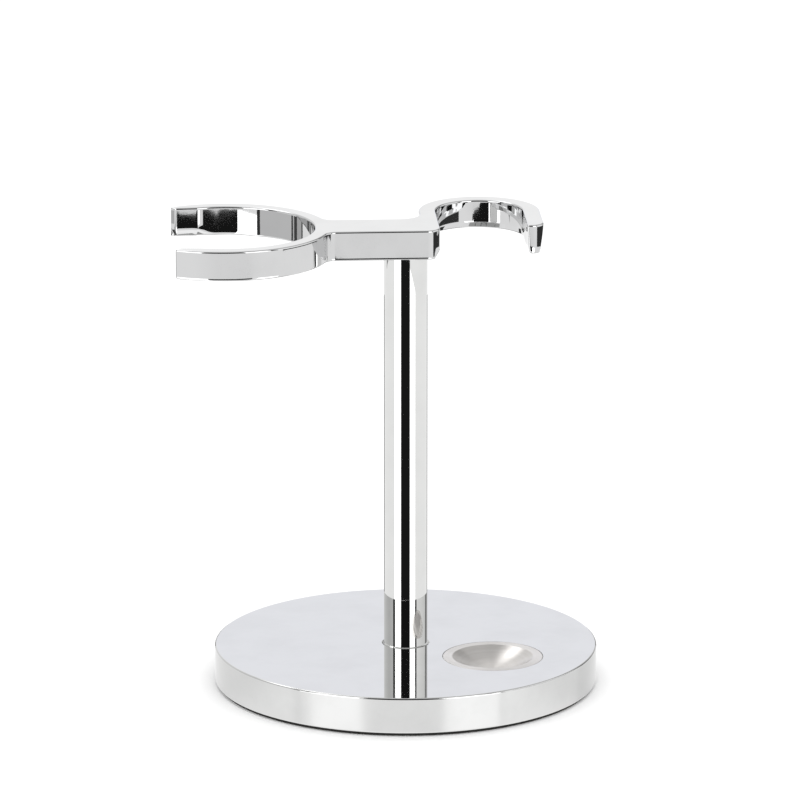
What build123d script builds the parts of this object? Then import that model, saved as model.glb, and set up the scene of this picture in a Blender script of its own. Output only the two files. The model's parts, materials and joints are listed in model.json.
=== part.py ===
from build123d import *
import math
import os

# Chromed stand for a shaving brush and a safety razor.
# Millimetres. +Z is up and +X runs along the arm, from the brush ring to the razor hook.
# The origin is on the column's axis, at the underside of the foot pad.

# ---- driving dimensions ------------------------------------------------------------------
BASE_DIAMETER = 88.0
BASE_THICKNESS = 8.3
BASE_EDGE_RADIUS = 0.4

PAD_THICKNESS = 0.8
PAD_INSET = 0.9            # how far the pad stays inside the base's edge, all round
PAD_CORNER = 0.15

ARM_TOP_HEIGHT = 99.0      # top of the arm above the top of the base
ARM_THICKNESS = 6.8
ARM_EDGE_RADIUS = 0.4      # all round the arm's top and bottom outline
BRIDGE_WIDTH = 12.2

COLUMN_DIAMETER = 10.0
COLUMN_WALL = 1.5
COLUMN_SEAT_DEPTH = 1.0    # how deep each end of the column sits in its socket
SEAT_CLEARANCE = 0.05      # radial, between the column and its two sockets
SEAT_CHAMFER = 0.45        # the fine ring that shows round the column's foot

RING_BORE = 41.0           # inside diameter of the brush ring
RING_WALL = 3.4
RING_REACH = 20.7          # column axis to the nearest point of the ring's bore
RING_TIP_PLACE = 60.0      # degrees from -X to the outer corner of each tip
RING_TIP_WALL = 1.4        # the ring's thickness there, across the arm
RING_TIP_ANGLE = 45.0      # the tips' end faces slant inwards by this angle
RING_FLARE_PLACE = 74.0    # degrees from -X: from here the bore runs straight to each tip
RING_FILLET = 3.0          # where the ring runs into the bridge
RING_TIP_RADIUS = 0.4      # outer corner of each tip
RING_TIP_INNER_RADIUS = 1.2

SLOT_WIDTH = 20.0          # razor slot, between its two straight sides
HOOK_WALL = 3.9
BRIDGE_END = 7.65          # column axis to the slot's nearer side
SLOT_DEPTH = 13.7          # bridge centre line to the centre of the slot's round end
HOOK_TIP = 2.0             # how far the hook's free leg passes the bridge centre line
HOOK_SIDE_DRAFT = 6.0      # degrees, the free leg's outer side leans in towards its foot
HOOK_FILLET = 4.9          # between the bridge and the hook, behind
BRIDGE_CORNER = 3.2        # front corner where the bridge meets the slot
TIP_CORNER = 3.0           # outer corner of the free leg
SLOT_FLARE = 1.2           # the slot's lower edge opens out by this much
SLOT_FLARE_AT_TIP = 0.3    # and by this much on the free leg

DISH_DIAMETER = 23.0
DISH_DEPTH = 4.8
BOWL_DIAMETER = 18.6
BOWL_DEPTH = 3.0
BOWL_LIP_RADIUS = 0.3
DISH_X = 19.3              # centre of the dish from the column's axis
DISH_Y = -12.2
DISH_CLEARANCE = 0.06      # radial, the seam round the dish
DISH_CHAMFER = 0.15

ROD_DIAMETER = 5.0         # tie rod, from the arm's blind hole to the nut
ROD_CHAMFER = 0.4
ROD_ENGAGEMENT = 4.0       # how deep it is screwed into the arm, above the column's seat
ROD_CLEARANCE = 0.25       # radial, where it passes through the base
BLIND_HOLE_SPARE = 0.5     # depth of the arm's hole beyond the end of the rod

NUT_ACROSS_FLATS = 8.0
NUT_HEIGHT = 2.7
NUT_CHAMFER = 0.3
WASHER_DIAMETER = 10.0
WASHER_THICKNESS = 1.0
LOCK_WASHER_DIAMETER = 9.2
LOCK_WASHER_THICKNESS = 1.2
LOCK_WASHER_GAP = 0.9
LOCK_WASHER_SLANT = 25.0   # degrees, how far the cut through the washer leans
WASHER_BORE_CLEARANCE = 0.15  # radial, round the rod
WRENCH_CLEARANCE = 2.2     # radial room round the nut's corners
NUT_RECESS = 0.1           # the nut stays this far above the underside of the base

# ---- levels and places that follow from them ---------------------------------------------
BASE_BOTTOM = PAD_THICKNESS
BASE_TOP = BASE_BOTTOM + BASE_THICKNESS
ARM_TOP = BASE_TOP + ARM_TOP_HEIGHT
ARM_BOTTOM = ARM_TOP - ARM_THICKNESS
COLUMN_BOTTOM = BASE_TOP - COLUMN_SEAT_DEPTH
COLUMN_TOP = ARM_BOTTOM + COLUMN_SEAT_DEPTH

STACK_HEIGHT = NUT_HEIGHT + LOCK_WASHER_THICKNESS + WASHER_THICKNESS
POCKET_TOP = BASE_BOTTOM + NUT_RECESS + STACK_HEIGHT
POCKET_RADIUS = NUT_ACROSS_FLATS / math.sqrt(3) + WRENCH_CLEARANCE
ROD_BOTTOM = BASE_BOTTOM + NUT_RECESS
ROD_TOP = COLUMN_TOP + ROD_ENGAGEMENT

RING_CENTRE_X = -(RING_REACH + RING_BORE / 2)
RING_OUTER_RADIUS = RING_BORE / 2 + RING_WALL
SLOT_CENTRE_X = BRIDGE_END + SLOT_WIDTH / 2
HOOK_OUTER_RADIUS = SLOT_WIDTH / 2 + HOOK_WALL


def disc(radius, bottom, top, x=0.0, y=0.0):
    """An upright cylinder between two levels."""
    return Pos(x, y, (bottom + top) / 2) * Cylinder(radius, top - bottom)


def block(x0, x1, y0, y1):
    """A flat rectangle between two corners, in the plan view."""
    return Pos((x0 + x1) / 2, (y0 + y1) / 2) * Rectangle(x1 - x0, y1 - y0)


def upright_edges(solid, x, y):
    """The vertical edge nearest to a place in the plan view."""
    edges = solid.edges().filter_by(Axis.Z)
    return edges.sort_by(lambda e: (e.center().X - x) ** 2 + (e.center().Y - y) ** 2)[:1]


def round_corner(solid, x, y, radius):
    return fillet(upright_edges(solid, x, y), radius)


def on_circle(radius, degrees):
    """A point of the ring's circle, seen from its centre, by its angle from -X."""
    angle = math.radians(180 - degrees)
    return radius * math.cos(angle), radius * math.sin(angle)


def ring_plan():
    """The C-shaped ring: a round band whose bore runs almost straight to slanted tips."""
    far = 2 * RING_OUTER_RADIUS
    tip_x, tip_y = on_circle(RING_OUTER_RADIUS, RING_TIP_PLACE)
    start_x, start_y = on_circle(RING_BORE / 2, RING_FLARE_PLACE)
    draft = (start_y - (tip_y - RING_TIP_WALL)) / (start_x - tip_x)
    end_y = start_y - draft * (start_x + far)
    flared = make_face(Polyline((start_x, start_y), (-far, end_y), (-far, -end_y),
                                (start_x, -start_y), close=True))
    slope = math.tan(math.radians(RING_TIP_ANGLE))
    apex_x = tip_x + tip_y / slope
    far_y = (apex_x + far) * slope
    mouth = make_face(Polyline((apex_x, 0), (-far, far_y), (-far, -far_y), close=True))
    band = Circle(RING_OUTER_RADIUS) - Circle(RING_BORE / 2) - flared - mouth
    return Pos(RING_CENTRE_X, 0) * band


def ring_bore_plan():
    return Pos(RING_CENTRE_X, 0) * Circle(RING_BORE / 2)


def slot_plan(left=0.0, right=0.0):
    """The U-shaped razor slot, open to the front, widened by left and right."""
    x0 = BRIDGE_END - left
    x1 = BRIDGE_END + SLOT_WIDTH + right
    radius = (x1 - x0) / 2
    centre_x = (x0 + x1) / 2
    centre_y = SLOT_DEPTH + left - (radius - SLOT_WIDTH / 2)
    front = -2 * BRIDGE_WIDTH
    side = Line((x0, front), (x0, centre_y))
    end = ThreePointArc((x0, centre_y), (centre_x, centre_y + radius), (x1, centre_y))
    back = Line((x1, centre_y), (x1, front))
    mouth = Line((x1, front), (x0, front))
    return make_face([side, end, back, mouth])


def arm_plan():
    """Outline of the arm: the ring, the bridge over the column and the hook."""
    half = BRIDGE_WIDTH / 2
    bridge = block(RING_CENTRE_X, BRIDGE_END, -half, half) - ring_bore_plan()
    hook = Pos(SLOT_CENTRE_X, SLOT_DEPTH) * Circle(HOOK_OUTER_RADIUS)
    near_leg = block(BRIDGE_END - HOOK_WALL, BRIDGE_END, 0, SLOT_DEPTH)
    slot_end = BRIDGE_END + SLOT_WIDTH
    free_leg = block(slot_end, slot_end + HOOK_WALL, -HOOK_TIP, SLOT_DEPTH)
    return ring_plan() + bridge + near_leg + (hook - slot_plan()) + free_leg


def arm_blank():
    """The outline extruded, with its upright corners rounded."""
    blank = Pos(0, 0, ARM_BOTTOM) * extrude(arm_plan(), ARM_THICKNESS)
    half = BRIDGE_WIDTH / 2
    meet_x = RING_CENTRE_X + math.sqrt(RING_OUTER_RADIUS ** 2 - half ** 2)
    tip_x, tip_y = on_circle(RING_OUTER_RADIUS, RING_TIP_PLACE)
    tip_x += RING_CENTRE_X
    inner_x = tip_x + RING_TIP_WALL
    inner_y = tip_y - RING_TIP_WALL
    free_leg_side = BRIDGE_END + SLOT_WIDTH + HOOK_WALL
    blank = round_corner(blank, meet_x, half, RING_FILLET)
    blank = round_corner(blank, meet_x, -half, RING_FILLET)
    blank = round_corner(blank, BRIDGE_END - HOOK_WALL, half, HOOK_FILLET)
    blank = round_corner(blank, BRIDGE_END, -half, BRIDGE_CORNER)
    blank = round_corner(blank, free_leg_side, -HOOK_TIP, TIP_CORNER)
    for side in (1, -1):
        blank = round_corner(blank, inner_x, side * inner_y, RING_TIP_INNER_RADIUS)
        blank = round_corner(blank, tip_x, side * tip_y, RING_TIP_RADIUS)
    return blank


def slot_flare():
    """The tapered cut that opens the slot's lower edge towards the hook's underside."""
    low = Pos(0, 0, ARM_BOTTOM) * slot_plan(SLOT_FLARE, SLOT_FLARE_AT_TIP)
    high = Pos(0, 0, ARM_BOTTOM + SLOT_FLARE) * slot_plan()
    return loft([low, high], ruled=True)


def hook_side_cut():
    """A block whose slanted face shaves the free leg's outer side, less at the top."""
    side = BRIDGE_END + SLOT_WIDTH + HOOK_WALL
    size = 4 * HOOK_OUTER_RADIUS
    wedge = Pos(size / 2, 0, 0) * Box(size, 2 * size, size)
    return Pos(side, 0, ARM_TOP - ARM_EDGE_RADIUS) * Rot(0, HOOK_SIDE_DRAFT, 0) * wedge


def make_arm():
    arm = arm_blank() - slot_flare()
    top = arm.faces().sort_by(Axis.Z)[-1].edges()
    arm = fillet(top, ARM_EDGE_RADIUS) - hook_side_cut()
    bottom = arm.faces().sort_by(Axis.Z)[0].edges()
    arm = fillet(bottom, ARM_EDGE_RADIUS)
    socket = disc(COLUMN_DIAMETER / 2 + SEAT_CLEARANCE, ARM_BOTTOM, COLUMN_TOP)
    thread = disc(ROD_DIAMETER / 2, COLUMN_TOP, ROD_TOP + BLIND_HOLE_SPARE)
    return arm - socket - thread


def make_column():
    tube = disc(COLUMN_DIAMETER / 2, COLUMN_BOTTOM, COLUMN_TOP)
    return tube - disc(COLUMN_DIAMETER / 2 - COLUMN_WALL, COLUMN_BOTTOM, COLUMN_TOP)


def make_tie_rod():
    rod = disc(ROD_DIAMETER / 2, ROD_BOTTOM, ROD_TOP)
    return chamfer(rod.edges().filter_by(GeomType.CIRCLE), ROD_CHAMFER)


def make_base_disc():
    """Solid disc with the column's socket, the dish's pocket and, below, the nut's pocket."""
    base = disc(BASE_DIAMETER / 2, BASE_BOTTOM, BASE_TOP)
    base = fillet(base.edges().filter_by(GeomType.CIRCLE), BASE_EDGE_RADIUS)
    seat_radius = COLUMN_DIAMETER / 2 + SEAT_CLEARANCE
    seat = disc(seat_radius, COLUMN_BOTTOM, BASE_TOP)
    rim = Pos(0, 0, BASE_TOP - SEAT_CHAMFER / 2) * Cone(seat_radius, seat_radius + SEAT_CHAMFER,
                                                        SEAT_CHAMFER)
    passage = disc(ROD_DIAMETER / 2 + ROD_CLEARANCE, POCKET_TOP, COLUMN_BOTTOM)
    nut_pocket = disc(POCKET_RADIUS, BASE_BOTTOM, POCKET_TOP)
    dish_pocket = disc(DISH_DIAMETER / 2 + DISH_CLEARANCE, BASE_TOP - DISH_DEPTH, BASE_TOP,
                       DISH_X, DISH_Y)
    return base - seat - rim - passage - nut_pocket - dish_pocket


def make_razor_dish():
    """The turned insert, flush with the base, with a shallow spherical bowl."""
    dish = disc(DISH_DIAMETER / 2, BASE_TOP - DISH_DEPTH, BASE_TOP)
    dish = chamfer(dish.edges().filter_by(GeomType.CIRCLE), DISH_CHAMFER)
    bowl_radius = ((BOWL_DIAMETER / 2) ** 2 + BOWL_DEPTH ** 2) / (2 * BOWL_DEPTH)
    dish = dish - Pos(0, 0, BASE_TOP - BOWL_DEPTH + bowl_radius) * Sphere(bowl_radius)
    lip = dish.edges().filter_by(GeomType.CIRCLE)
    lip = lip.filter_by(lambda e: abs(e.radius - BOWL_DIAMETER / 2) < BOWL_LIP_RADIUS)
    return Pos(DISH_X, DISH_Y, 0) * fillet(lip, BOWL_LIP_RADIUS)


def make_foot_pad():
    pad = disc(BASE_DIAMETER / 2 - PAD_INSET, 0, PAD_THICKNESS)
    return fillet(pad.edges().filter_by(GeomType.CIRCLE), PAD_CORNER)


def make_nut():
    """Thin hexagon nut: both faces carry the usual 30 degree chamfer."""
    corners = NUT_ACROSS_FLATS / math.sqrt(3)
    body = Pos(0, 0, ROD_BOTTOM) * extrude(RegularPolygon(corners, 6), NUT_HEIGHT)
    turned = disc(corners, ROD_BOTTOM, ROD_BOTTOM + NUT_HEIGHT)
    turned = chamfer(turned.edges().filter_by(GeomType.CIRCLE), NUT_CHAMFER, 2 * NUT_CHAMFER)
    return (body & turned) - disc(ROD_DIAMETER / 2, ROD_BOTTOM, ROD_BOTTOM + NUT_HEIGHT)


def make_lock_washer():
    """Split spring washer between the nut and the flat washer."""
    bottom = ROD_BOTTOM + NUT_HEIGHT
    top = bottom + LOCK_WASHER_THICKNESS
    bore = ROD_DIAMETER / 2 + WASHER_BORE_CLEARANCE
    ring = disc(LOCK_WASHER_DIAMETER / 2, bottom, top) - disc(bore, bottom, top)
    gap = Box(LOCK_WASHER_DIAMETER, LOCK_WASHER_GAP, 2 * LOCK_WASHER_THICKNESS)
    middle = (bottom + top) / 2
    return ring - Pos(LOCK_WASHER_DIAMETER / 2, 0, middle) * Rot(LOCK_WASHER_SLANT, 0, 0) * gap


def make_flat_washer():
    bottom = POCKET_TOP - WASHER_THICKNESS
    bore = ROD_DIAMETER / 2 + WASHER_BORE_CLEARANCE
    return disc(WASHER_DIAMETER / 2, bottom, POCKET_TOP) - disc(bore, bottom, POCKET_TOP)


def build_all():
    return {
        "arm": make_arm(),
        "column": make_column(),
        "tie_rod": make_tie_rod(),
        "base_disc": make_base_disc(),
        "razor_dish": make_razor_dish(),
        "foot_pad": make_foot_pad(),
        "clamping_nut": make_nut(),
        "lock_washer": make_lock_washer(),
        "flat_washer": make_flat_washer(),
    }


os.makedirs("parts", exist_ok=True)
for name, shape in build_all().items():
    export_step(shape, f"parts/{name}.step")
    print(name, round(shape.volume, 1), "mm3")
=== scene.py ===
# %% [markdown]
# # A chromed shaving stand
#
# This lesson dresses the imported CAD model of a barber's shaving stand for a studio render.
# The CAD model is the frame: it fixes every size and place, in metres, with +Z up and the
# origin on the column's axis where the stand rests. Here each visible piece is made again with
# a smooth skin, because polished chrome shows every facet, and each gets its finish.

# %% Load the frame
import json
import math

import bmesh
import bpy
import numpy as np
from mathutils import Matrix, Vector
from mathutils.geometry import tessellate_polygon


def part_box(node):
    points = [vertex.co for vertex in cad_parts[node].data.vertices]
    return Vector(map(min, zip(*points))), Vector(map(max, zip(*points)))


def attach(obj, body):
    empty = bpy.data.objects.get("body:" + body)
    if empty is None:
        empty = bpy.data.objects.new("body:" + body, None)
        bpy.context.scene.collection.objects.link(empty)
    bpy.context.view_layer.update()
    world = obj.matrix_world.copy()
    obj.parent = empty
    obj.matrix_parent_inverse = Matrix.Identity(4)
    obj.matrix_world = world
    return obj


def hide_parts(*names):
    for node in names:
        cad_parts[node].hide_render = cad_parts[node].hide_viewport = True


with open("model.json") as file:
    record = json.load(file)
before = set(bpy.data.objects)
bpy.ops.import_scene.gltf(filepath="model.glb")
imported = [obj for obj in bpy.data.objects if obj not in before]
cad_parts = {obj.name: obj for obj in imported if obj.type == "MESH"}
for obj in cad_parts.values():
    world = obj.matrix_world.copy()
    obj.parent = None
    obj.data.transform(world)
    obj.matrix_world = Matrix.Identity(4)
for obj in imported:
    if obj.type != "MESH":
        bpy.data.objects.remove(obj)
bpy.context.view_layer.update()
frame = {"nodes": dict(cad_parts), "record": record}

MM = 0.001
mounts = {m["name"]: m for m in frame["record"]["mounts"]}

# %% [markdown]
# ## The eye
#
# The stand is seen from a little over a metre and a half away with a long lens, as a product
# photographer does it, so that the round base stays round and the column stays upright. The
# camera stands slightly to the left of the arm's front and looks down by about 15 degrees.
# It aims a touch beside the column, which puts the whole arm in the middle of the frame.

# %% Camera
VIEW_DISTANCE = 1.584
VIEW_TURN = math.radians(3.3)
VIEW_PITCH = math.radians(14.824)
VIEW_HEIGHT = 0.48615
VIEW_SIDESTEP = -0.0013
LENS_MM = 322.25
SENSOR_MM = 36.0


def make_camera():
    lens = bpy.data.cameras.new("camera")
    lens.lens = LENS_MM
    lens.sensor_width = SENSOR_MM
    lens.clip_end = 50
    camera = bpy.data.objects.new("camera", lens)
    bpy.context.scene.collection.objects.link(camera)
    right = Vector((math.cos(VIEW_TURN), -math.sin(VIEW_TURN), 0))
    back = Vector((-math.sin(VIEW_TURN), -math.cos(VIEW_TURN), 0))
    camera.location = back * VIEW_DISTANCE + right * VIEW_SIDESTEP + Vector((0, 0, VIEW_HEIGHT))
    camera.rotation_euler = (math.pi / 2 - VIEW_PITCH, 0, -VIEW_TURN)
    bpy.context.scene.camera = camera
    bpy.context.scene.view_settings.view_transform = "Standard"
    print("camera at", [round(v, 3) for v in camera.location])


make_camera()

# %% [markdown]
# ## Node helpers
#
# A material and a Geometry Nodes tree are both graphs of nodes. A few small helpers keep the
# recipes below short: one adds a node and sets its plain values, and one opens a new group
# with named sockets. A socket of the group is then found by its name. Two more do a sum and
# stretch a value to a range.


# %% Node helpers
def node(tree, kind, **values):
    """Adds a node; a value named after an input sets that input, any other sets a property."""
    made = tree.nodes.new(kind)
    for name, value in values.items():
        if hasattr(made, name):
            setattr(made, name, value)
        else:
            made.inputs[name.replace("_", " ")].default_value = value
    return made


def new_group(name, kind, inputs, outputs):
    group = bpy.data.node_groups.new(name, kind)
    for label, socket, default in inputs:
        made = group.interface.new_socket(label, in_out="INPUT", socket_type=socket)
        if default is not None:
            made.default_value = default
    for label, socket in outputs:
        group.interface.new_socket(label, in_out="OUTPUT", socket_type=socket)
    return group, group.nodes.new("NodeGroupInput"), group.nodes.new("NodeGroupOutput")


def maths(tree, operation, first, second=None):
    """One Math node; each operand is a number or a socket."""
    made = tree.nodes.new("ShaderNodeMath")
    made.operation = operation
    for place, value in enumerate((first, second)):
        if isinstance(value, bpy.types.NodeSocket):
            tree.links.new(value, made.inputs[place])
        elif value is not None:
            made.inputs[place].default_value = value
    return made.outputs[0]


def scaled(tree, value, low, high):
    """Spreads a value from 0..1 over low..high."""
    made = node(tree, "ShaderNodeMapRange", To_Min=low, To_Max=high)
    tree.links.new(value, made.inputs["Value"])
    return made.outputs["Result"]


# %% [markdown]
# ## What hands and cloths leave on metal
#
# Chrome in use is never quite clean. It carries a very fine haze where it was wiped, hairline
# scratches that all run a little differently, and a few specks. Painting these by hand would
# need a picture; noise textures give them at any scale from nothing. All three metals use the
# same effect, so it is one node group that puts out a haze mask and a height, and each
# material places it with its own sizes.


# %% Shared effect: wiped metal
def make_wiped_metal():
    group, given, out = new_group(
        "wiped_metal", "ShaderNodeTree",
        [("Haze Size", "NodeSocketFloat", 90.0), ("Scratch Size", "NodeSocketFloat", 900.0),
         ("Speck Share", "NodeSocketFloat", 0.3)],
        [("Haze", "NodeSocketFloat"), ("Height", "NodeSocketFloat"), ("Specks", "NodeSocketFloat")])
    place = node(group, "ShaderNodeTexCoord")
    cloud = node(group, "ShaderNodeTexNoise", Detail=5.0, Roughness=0.62)
    lanes = node(group, "ShaderNodeMapping")
    lanes.inputs["Scale"].default_value = (1.0, 14.0, 1.6)
    lanes.inputs["Rotation"].default_value = (0.3, 0.2, 0.5)
    hairlines = node(group, "ShaderNodeTexNoise", Detail=3.0, Distortion=0.4)
    dots = node(group, "ShaderNodeTexVoronoi", Scale=650.0)
    group.links.new(place.outputs["Object"], cloud.inputs["Vector"])
    group.links.new(given.outputs["Haze Size"], cloud.inputs["Scale"])
    group.links.new(place.outputs["Object"], lanes.inputs["Vector"])
    group.links.new(lanes.outputs["Vector"], hairlines.inputs["Vector"])
    group.links.new(given.outputs["Scratch Size"], hairlines.inputs["Scale"])
    group.links.new(place.outputs["Object"], dots.inputs["Vector"])
    haze = node(group, "ShaderNodeMapRange", From_Min=0.42, From_Max=0.74, clamp=True)
    group.links.new(cloud.outputs["Fac"], haze.inputs["Value"])
    group.links.new(haze.outputs["Result"], out.inputs["Haze"])
    group.links.new(hairlines.outputs["Fac"], out.inputs["Height"])
    near = maths(group, "LESS_THAN", dots.outputs["Distance"], 0.09)
    rare = maths(group, "LESS_THAN", dots.outputs["Color"], given.outputs["Speck Share"])
    group.links.new(maths(group, "MULTIPLY", near, rare), out.inputs["Specks"])
    return group


wiped_metal = make_wiped_metal()
print("group", wiped_metal.name, "with", len(wiped_metal.nodes), "nodes")

# %% [markdown]
# ## What a lathe leaves
#
# The dish and the zinc-plated hardware were turned, and the tool leaves a spiral groove that
# looks like very fine circles about the part's own axis. The group measures how far a point
# is from that axis, in object space, and runs a wave over the distance. A noise on the same
# distance makes some circles deeper than others, as a worn tool does.


# %% Shared effect: turning marks
def make_turning_marks():
    group, given, out = new_group(
        "turning_marks", "ShaderNodeTree",
        [("Centre", "NodeSocketVector", None), ("Grooves", "NodeSocketFloat", 5000.0)],
        [("Height", "NodeSocketFloat"), ("Bands", "NodeSocketFloat")])
    place = node(group, "ShaderNodeTexCoord")
    from_axis = node(group, "ShaderNodeVectorMath", operation="SUBTRACT")
    flat = node(group, "ShaderNodeVectorMath", operation="MULTIPLY")
    flat.inputs[1].default_value = (1.0, 1.0, 0.0)
    distance = node(group, "ShaderNodeVectorMath", operation="LENGTH")
    group.links.new(place.outputs["Object"], from_axis.inputs[0])
    group.links.new(given.outputs["Centre"], from_axis.inputs[1])
    group.links.new(from_axis.outputs["Vector"], flat.inputs[0])
    group.links.new(flat.outputs["Vector"], distance.inputs[0])
    turns = maths(group, "MULTIPLY", distance.outputs["Value"], given.outputs["Grooves"])
    circles = node(group, "ShaderNodeTexNoise", noise_dimensions="1D", Scale=1.0, Detail=4.0,
                   Roughness=0.7)
    bands = node(group, "ShaderNodeTexNoise", noise_dimensions="1D", Scale=0.11, Detail=2.0)
    group.links.new(turns, circles.inputs["W"])
    group.links.new(turns, bands.inputs["W"])
    group.links.new(circles.outputs["Fac"], out.inputs["Height"])
    group.links.new(bands.outputs["Fac"], out.inputs["Bands"])
    return group


turning_marks = make_turning_marks()
print("group", turning_marks.name, "with", len(turning_marks.nodes), "nodes")

# %% [markdown]
# ## The chrome finishes
#
# Chrome plating is a metal with a faint blue tint over a polished base. The Principled shader
# with Metallic at 1 gives it, and its Base Color is how much light it sends back. The arm is a
# polished casting, so its skin is very slightly wavy; the column is drawn tube; the base was
# turned and buffed and is a little softer. One function makes all three, and only the numbers
# differ. The haze darkens the reflection by a hair and spreads it, and the hairlines and the
# waviness go through a Bump node.

# %% Chrome materials
MATERIALS = {}
SPECK_SHARE = 0.05
SPECK_ROUGHNESS = 0.18
HAZE_DARKENS = 0.94


def new_material(name, **plain):
    """A material with one Principled shader whose named inputs are set to plain values."""
    made = bpy.data.materials.new(name)
    made.use_nodes = True
    shader = made.node_tree.nodes["Principled BSDF"]
    for label, value in plain.items():
        shader.inputs[label.replace("_", " ")].default_value = value
    MATERIALS[name] = made
    return made, made.node_tree, shader


def tinted(tree, mask, clean, marked):
    """A colour that goes from clean to marked as the mask goes from 0 to 1."""
    mix = node(tree, "ShaderNodeMix", data_type="RGBA")
    mix.inputs[6].default_value = (*clean, 1)
    mix.inputs[7].default_value = (*marked, 1)
    tree.links.new(mask, mix.inputs[0])
    return mix.outputs[2]


def make_chrome(name, colour, roughness, hazed, scratch_depth, wave_size, wave_depth):
    made, tree, shader = new_material(name, Metallic=1.0)
    wear = node(tree, "ShaderNodeGroup", node_tree=wiped_metal)
    wear.inputs["Speck Share"].default_value = SPECK_SHARE
    place = node(tree, "ShaderNodeTexCoord")
    waves = node(tree, "ShaderNodeTexNoise", Scale=wave_size, Detail=1.0)
    tree.links.new(place.outputs["Object"], waves.inputs["Vector"])
    dull = tuple(HAZE_DARKENS * part for part in colour)
    tree.links.new(tinted(tree, wear.outputs["Haze"], colour, dull), shader.inputs["Base Color"])
    grain = scaled(tree, wear.outputs["Haze"], roughness, hazed)
    specks = maths(tree, "MULTIPLY", wear.outputs["Specks"], SPECK_ROUGHNESS)
    tree.links.new(maths(tree, "ADD", grain, specks), shader.inputs["Roughness"])
    skin = node(tree, "ShaderNodeBump", Strength=1.0, Distance=wave_depth)
    lines = node(tree, "ShaderNodeBump", Strength=1.0, Distance=scratch_depth)
    tree.links.new(waves.outputs["Fac"], skin.inputs["Height"])
    tree.links.new(wear.outputs["Height"], lines.inputs["Height"])
    tree.links.new(skin.outputs["Normal"], lines.inputs["Normal"])
    tree.links.new(lines.outputs["Normal"], shader.inputs["Normal"])
    return made


make_chrome("chrome_plate", (0.675, 0.677, 0.68), roughness=0.018, hazed=0.045,
            scratch_depth=0.4e-6, wave_size=55.0, wave_depth=12e-6)
make_chrome("chrome_tube", (0.765, 0.768, 0.76), roughness=0.015, hazed=0.035,
            scratch_depth=0.3e-6, wave_size=30.0, wave_depth=4e-6)
make_chrome("chrome_base", (0.672, 0.674, 0.67), roughness=0.03, hazed=0.05,
            scratch_depth=0.4e-6, wave_size=25.0, wave_depth=2.5e-6)
print("chromes:", sorted(MATERIALS))

# %% [markdown]
# ## The satin and the dull finishes
#
# The dish is stainless steel left as the lathe made it. Grooves all round a bowl stretch every
# highlight across them, into a wedge that points at the centre. Anisotropic does that along
# the shader's tangent, and here the tangent is simply the direction away from the dish's axis.
# The tie rod, nut and flat washer are zinc-plated, with a slightly yellow, cloudy bloom, and the
# lock washer is blackened spring steel. The pad is foam rubber: no gloss, and open cells that
# a Voronoi texture gives in both colour and height; its colour is painted shade, since the pits
# that the bump sinks are painted darker.


# %% Steel and rubber materials
def make_turned_steel(centre):
    made, tree, shader = new_material("turned_steel", Metallic=1.0, Anisotropic=0.75)
    marks = node(tree, "ShaderNodeGroup", node_tree=turning_marks)
    marks.inputs["Centre"].default_value = centre
    marks.inputs["Grooves"].default_value = 9000.0
    wear = node(tree, "ShaderNodeGroup", node_tree=wiped_metal)
    wear.inputs["Haze Size"].default_value = 300.0
    tree.links.new(tinted(tree, marks.outputs["Bands"], (0.60, 0.575, 0.55), (0.71, 0.695, 0.68)),
                   shader.inputs["Base Color"])
    rough = scaled(tree, wear.outputs["Haze"], 0.30, 0.38)
    tree.links.new(rough, shader.inputs["Roughness"])
    place = node(tree, "ShaderNodeTexCoord")
    outward = node(tree, "ShaderNodeVectorMath", operation="SUBTRACT")
    outward.inputs[1].default_value = centre
    tree.links.new(place.outputs["Object"], outward.inputs[0])
    tree.links.new(outward.outputs["Vector"], shader.inputs["Tangent"])
    grooves = node(tree, "ShaderNodeBump", Strength=0.6, Distance=6e-6)
    tree.links.new(marks.outputs["Height"], grooves.inputs["Height"])
    tree.links.new(grooves.outputs["Normal"], shader.inputs["Normal"])
    return made


def make_hardware(name, clean, bloomed, rough_low, rough_high):
    made, tree, shader = new_material(name, Metallic=1.0)
    wear = node(tree, "ShaderNodeGroup", node_tree=wiped_metal)
    wear.inputs["Haze Size"].default_value = 420.0
    marks = node(tree, "ShaderNodeGroup", node_tree=turning_marks)
    marks.inputs["Grooves"].default_value = 6000.0
    tree.links.new(tinted(tree, wear.outputs["Haze"], clean, bloomed), shader.inputs["Base Color"])
    tree.links.new(scaled(tree, wear.outputs["Haze"], rough_low, rough_high),
                   shader.inputs["Roughness"])
    grooves = node(tree, "ShaderNodeBump", Strength=0.5, Distance=8e-6)
    tree.links.new(marks.outputs["Height"], grooves.inputs["Height"])
    tree.links.new(grooves.outputs["Normal"], shader.inputs["Normal"])
    return made


def make_pad_rubber():
    made, tree, shader = new_material("pad_rubber", Specular_IOR_Level=0.3)
    place = node(tree, "ShaderNodeTexCoord")
    cells = node(tree, "ShaderNodeTexVoronoi", Scale=2600.0)
    dust = node(tree, "ShaderNodeTexNoise", Scale=500.0, Detail=4.0)
    tree.links.new(place.outputs["Object"], cells.inputs["Vector"])
    tree.links.new(place.outputs["Object"], dust.inputs["Vector"])
    # painted shade in the pores: the Voronoi distance that sinks the pits also paints them darker
    tree.links.new(tinted(tree, cells.outputs["Distance"], (0.006, 0.006, 0.006),
                          (0.035, 0.034, 0.032)), shader.inputs["Base Color"])
    tree.links.new(scaled(tree, dust.outputs["Fac"], 0.75, 0.98), shader.inputs["Roughness"])
    pores = node(tree, "ShaderNodeBump", Strength=0.8, Distance=60e-6)
    tree.links.new(cells.outputs["Distance"], pores.inputs["Height"])
    tree.links.new(pores.outputs["Normal"], shader.inputs["Normal"])
    return made


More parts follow.
